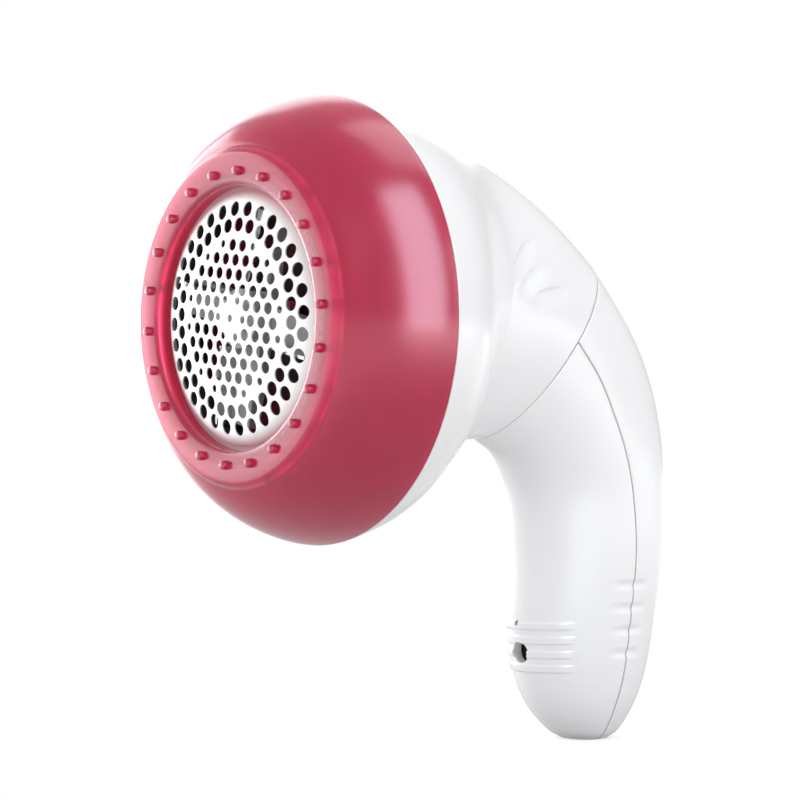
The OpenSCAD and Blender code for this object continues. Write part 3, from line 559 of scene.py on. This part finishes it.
def dimples_at(z):
    """How fully a dimple is sunk at a height, from 0 to 1."""
    return max(1 - step(abs(z - DIMPLE_TOP + k * DIMPLE_PITCH), *DIMPLE_EDGE) for k in range(DIMPLES))


def lift_at(z, side, front):
    """How far the shell's skin is lifted at a height and a turn from the parting line."""
    dimple = -DIMPLE_H * dimples_at(z) * (1 - step(side, *DIMPLE_TURN))
    return dimple + (RIB_H * ribs_at(z) * step(side, *RIB_TURN) if front else 0)


EDGE_TURNS = [0, 0.6, 1.6, 3.5, 6, 9]
ARC = EDGE_TURNS + [9 + 162 * k / 50 for k in range(1, 50)] + [180 - t for t in reversed(EDGE_TURNS)]
PART_GAP = 0.3
PART_ROUND = 0.14
PART_TURN = (0, 0.9)
FOOT_CORE = 0.3
SOLID_FROM = 7.5


def shell_loop(bm, s, front, hollow, inset):
    """One section of a handle shell: outside over the tip, then back along the inside."""
    verts, edges = loop_of(bm, 2 * len(ARC))
    middle, tip = Vector(s[2:4]), Vector(s[0:2] if front else s[4:6])
    middle = middle + (tip - middle).normalized() * PART_GAP / 2
    inner_tip = moved_in(middle, tip, WALL) if hollow else middle + (tip - middle).normalized() * FOOT_CORE
    for k, turn in enumerate(ARC):
        side = min(turn, 180 - turn)
        lift = lift_at(middle.y, side, front) - inset - PART_ROUND * (1 - step(side, *PART_TURN))
        verts[k].co = oval_point(middle, tip, s[6], math.radians(turn), lift)
        verts[-1 - k].co = oval_point(middle, inner_tip, s[6] - WALL, math.radians(turn), 0)
    return edges


def make_handle(name, front, node):
    # Places of the sections: the rounded top edge, the grip, the ribs and dimples, then the foot
    sections = [(0.03, 0.12), (0.042, 0.03)]
    places = [0.06] + spaced(0.1, 5.3, 70) + spaced(5.3, 7.1, 150) + spaced(7.1, 9.7, 50)
    sections += [(u, 0) for u in places + [9.7, 9.8, 9.88, 9.94, 9.98, 10]]
    bm = bmesh.new()
    loops = [shell_loop(bm, station(HANDLE, u), front, u < SOLID_FROM, inset) for u, inset in sections]
    for first, second in zip(loops, loops[1:]):
        bridge(bm, first, second)
    for end in (loops[0], loops[-1]):
        bmesh.ops.edgeloop_fill(bm, edges=list(end))
    bmesh.ops.recalc_face_normals(bm, faces=bm.faces)
    piece = new_piece(name, bm, "body", white_gloss, angle=40)
    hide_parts(node)
    return piece


DRILL_L = 10
DRILL_Y = -15.5


def drilled(piece, holes):
    """Cuts round holes along Y through a piece."""
    for z, r in holes:
        bm = bmesh.new()
        bmesh.ops.create_cone(bm, cap_ends=True, segments=48, radius1=r * MM, radius2=r * MM,
                              depth=DRILL_L * MM)
        bmesh.ops.transform(bm, verts=bm.verts, matrix=Matrix.Translation((0, DRILL_Y * MM, z * MM))
                            @ Matrix.Rotation(math.pi / 2, 4, "X"))
        mesh = bpy.data.meshes.new("drill")
        bm.to_mesh(mesh)
        bm.free()
        drill = bpy.data.objects.new("drill", mesh)
        bpy.context.scene.collection.objects.link(drill)
        cut = piece.modifiers.new("hole", "BOOLEAN")
        cut.object = drill
        cut.operation = "DIFFERENCE"
        bpy.context.view_layer.update()
        made = bpy.data.meshes.new_from_object(piece.evaluated_get(bpy.context.evaluated_depsgraph_get()))
        piece.modifiers.clear()
        piece.data = made
        bpy.data.objects.remove(drill)


make_cover()
make_foil()
make_housing()
front_shell = make_handle("handle_front_shell", True, "handle_front")
drilled(front_shell, [(INLET_Z, INLET_R), (LIGHT_Z, LIGHT_R)])
make_handle("handle_back_shell", False, "handle_back")


# Camera at the photograph's viewing angle, level with the handle's grip
CAMERA_PLACE = (0.391353, -0.364589, 0.064819)
CAMERA_TURN = 50.843
CAMERA_LENS = 124.7
CAMERA_SENSOR = 36

camera = bpy.data.objects.new("camera", bpy.data.cameras.new("camera"))
bpy.context.scene.collection.objects.link(camera)
camera.location = CAMERA_PLACE
camera.rotation_euler = (math.radians(90), 0, math.radians(CAMERA_TURN))
camera.data.sensor_width = CAMERA_SENSOR
camera.data.lens = CAMERA_LENS
camera.data.clip_start = 0.01
bpy.context.scene.camera = camera


# Studio: pale floor, white backdrop and large soft lamps, in metres and watts
HEAD = (0, -0.04, 0.08)
GRIP = (0, 0, 0.04)
COOL = (0.96, 0.98, 1)
COOLER = (0.72, 0.86, 1)


def lamp(name, place, size, power, aim=HEAD, tint=COOL, light=True, shine=True):
    """A soft box. Without light it only shows in the gloss, and without shine it only lights."""
    data = bpy.data.lights.new(name, "AREA")
    data.shape = "RECTANGLE"
    data.size, data.size_y = size
    data.energy = power
    data.color = tint
    made = bpy.data.objects.new(name, data)
    made.location = place
    made.rotation_euler = (Vector(aim) - Vector(place)).to_track_quat("-Z", "Y").to_euler()
    made.visible_diffuse = light
    made.visible_glossy = shine
    bpy.context.scene.collection.objects.link(made)


lamp("front_box", (-0.86, -0.25, 0.2), (0.9, 0.8), 5.8)
lamp("front_low", (-0.35, -0.75, 0.1), (0.5, 0.2), 0.7, shine=False)
lamp("camera_fill", (0.35, -0.75, 0.5), (0.5, 0.5), 0.8, shine=False)
lamp("right_fill", (0.9, -0.1, 0.1), (0.5, 0.3), 1.2, shine=False)
lamp("back_right", (0.7, 0.5, 0.35), (0.5, 0.5), 1.2)
lamp("back_left", (-0.65, 0.45, 0.5), (0.5, 0.5), 1)
lamp("left_box", (-0.7, -0.05, 0.12), (0.6, 0.3), 2, aim=GRIP)
lamp("top_box", (0, 0.25, 0.9), (0.5, 0.5), 1.4)
# A tall box that lights nothing and only shows as a highlight on the cover's right
lamp("right_box", (0.9, -0.1, 0.45), (0.5, 1.7), 17, tint=COOLER, light=False)


WHITE = (1, 1, 1, 1)
AMBIENT = 0.84
AMBIENT_IN_GLOSS = 0.45
FLOOR_SIZE = 6
FLOOR_PAINT = (0.5, 0.5, 0.5, 1)
FLOOR_GLOW = 0.6
FLOOR_FAR = 0.75
SHADOW_EDGE = (0.03, 0.13)


def mixed(tree, share, first, second):
    """A mix of two shaders."""
    return add_node(tree, "MixShader", {"Fac": share, 1: first, 2: second}).outputs[0]


def seen_directly(tree, path):
    """1 for what the camera sees, itself or through the clear cover, and 0 for the rest."""
    either = {0: path["Is Camera Ray"], 1: path["Is Transmission Ray"]}
    return add_node(tree, "Math", either, operation="MAXIMUM").outputs[0]


def make_backdrop():
    """A white world to the camera, and a dimmer one in the gloss than on matt surfaces."""
    world = bpy.data.worlds.new("studio")
    world.use_nodes = True
    bpy.context.scene.world = world
    tree = world.node_tree
    path = add_node(tree, "LightPath").outputs
    level = add_node(tree, "MapRange", {"Value": path["Is Glossy Ray"], "To Min": AMBIENT,
                                        "To Max": AMBIENT_IN_GLOSS})
    ambient = tree.nodes["Background"]
    ambient.inputs["Color"].default_value = WHITE
    tree.links.new(level.outputs["Result"], ambient.inputs["Strength"])
    backdrop = add_node(tree, "Background", {"Color": WHITE, "Strength": 1})
    whole = mixed(tree, seen_directly(tree, path), ambient.outputs[0], backdrop.outputs[0])
    tree.links.new(whole, tree.nodes["World Output"].inputs["Surface"])


def eased(tree, value, low, high, start, end):
    """A value eased from start to end as another goes from low to high."""
    sizes = {"Value": value, "From Min": low, "From Max": high, "To Min": start, "To Max": end}
    return add_node(tree, "MapRange", sizes, interpolation_type="SMOOTHSTEP").outputs["Result"]


def worked_out(tree, operation, *values):
    """The result of a sum on plain numbers or other nodes' results."""
    return add_node(tree, "Math", dict(enumerate(values)), operation=operation).outputs[0]


def floor_in_gloss(tree, place, distance):
    """The floor in the gloss: dimmer under the part as painted shade where its shadow would fall, and
    brighter to the left and in a patch to the right as painted glow that shows as highlights.
    """
    aside = add_node(tree, "SeparateXYZ", {0: place}).outputs
    turned = worked_out(tree, "MULTIPLY_ADD", aside["X"], 0.45, aside["Y"])
    # Painted glow: a brighter patch of floor to the right, seen only in the gloss, that shows as a highlight
    # on the cover
    patch = worked_out(tree, "MULTIPLY", eased(tree, aside["X"], 0.1, 0.6, 0, 1.9),
                       eased(tree, turned, -0.08, 0.06, 0, 1))
    # Painted shade: the floor in the gloss is dimmer close to the part, where its shadow would fall
    near = eased(tree, distance, 0.1, 0.35, 0.6, 1.3)
    # Painted glow: the floor in the gloss is brighter to the left
    left = eased(tree, aside["X"], -0.5, -0.1, 0.6, 0)
    strength = worked_out(tree, "ADD", worked_out(tree, "ADD", near, left), patch)
    return add_node(tree, "Emission", {"Strength": strength}).outputs[0]


def floor_finish():
    """Painted near the part, where its shadow falls, and plain white further off."""
    finish = bpy.data.materials.new("pale_floor")
    finish.use_nodes = True
    tree = finish.node_tree
    tree.nodes.remove(tree.nodes["Principled BSDF"])
    path = add_node(tree, "LightPath").outputs
    seen = seen_directly(tree, path)
    paint = add_node(tree, "BsdfDiffuse", {"Color": FLOOR_PAINT}).outputs[0]
    hidden = add_node(tree, "Emission", {"Strength": 0}).outputs[0]
    glow = add_node(tree, "Emission", {"Strength": FLOOR_GLOW}).outputs[0]
    under = add_node(tree, "AddShader", {0: paint, 1: mixed(tree, seen, hidden, glow)}).outputs[0]
    shine = add_node(tree, "MapRange", {"Value": seen, "To Min": FLOOR_FAR, "To Max": 1})
    far = add_node(tree, "Emission", {"Strength": shine.outputs["Result"]}).outputs[0]
    place = add_node(tree, "TexCoord").outputs["Object"]
    distance = add_node(tree, "VectorMath", {0: place}, operation="LENGTH").outputs["Value"]
    plain = mixed(tree, eased(tree, distance, *SHADOW_EDGE, 0, 1), under, far)
    whole = mixed(tree, path["Is Glossy Ray"], plain, floor_in_gloss(tree, place, distance))
    tree.links.new(whole, tree.nodes["Material Output"].inputs["Surface"])
    return finish


def make_floor():
    bm = bmesh.new()
    bmesh.ops.create_grid(bm, x_segments=1, y_segments=1, size=FLOOR_SIZE)
    mesh = bpy.data.meshes.new("floor")
    bm.to_mesh(mesh)
    bm.free()
    mesh.materials.append(floor_finish())
    floor = bpy.data.objects.new("floor", mesh)
    bpy.context.scene.collection.objects.link(floor)


make_backdrop()
make_floor()
bpy.context.scene.view_settings.view_transform = "Standard"
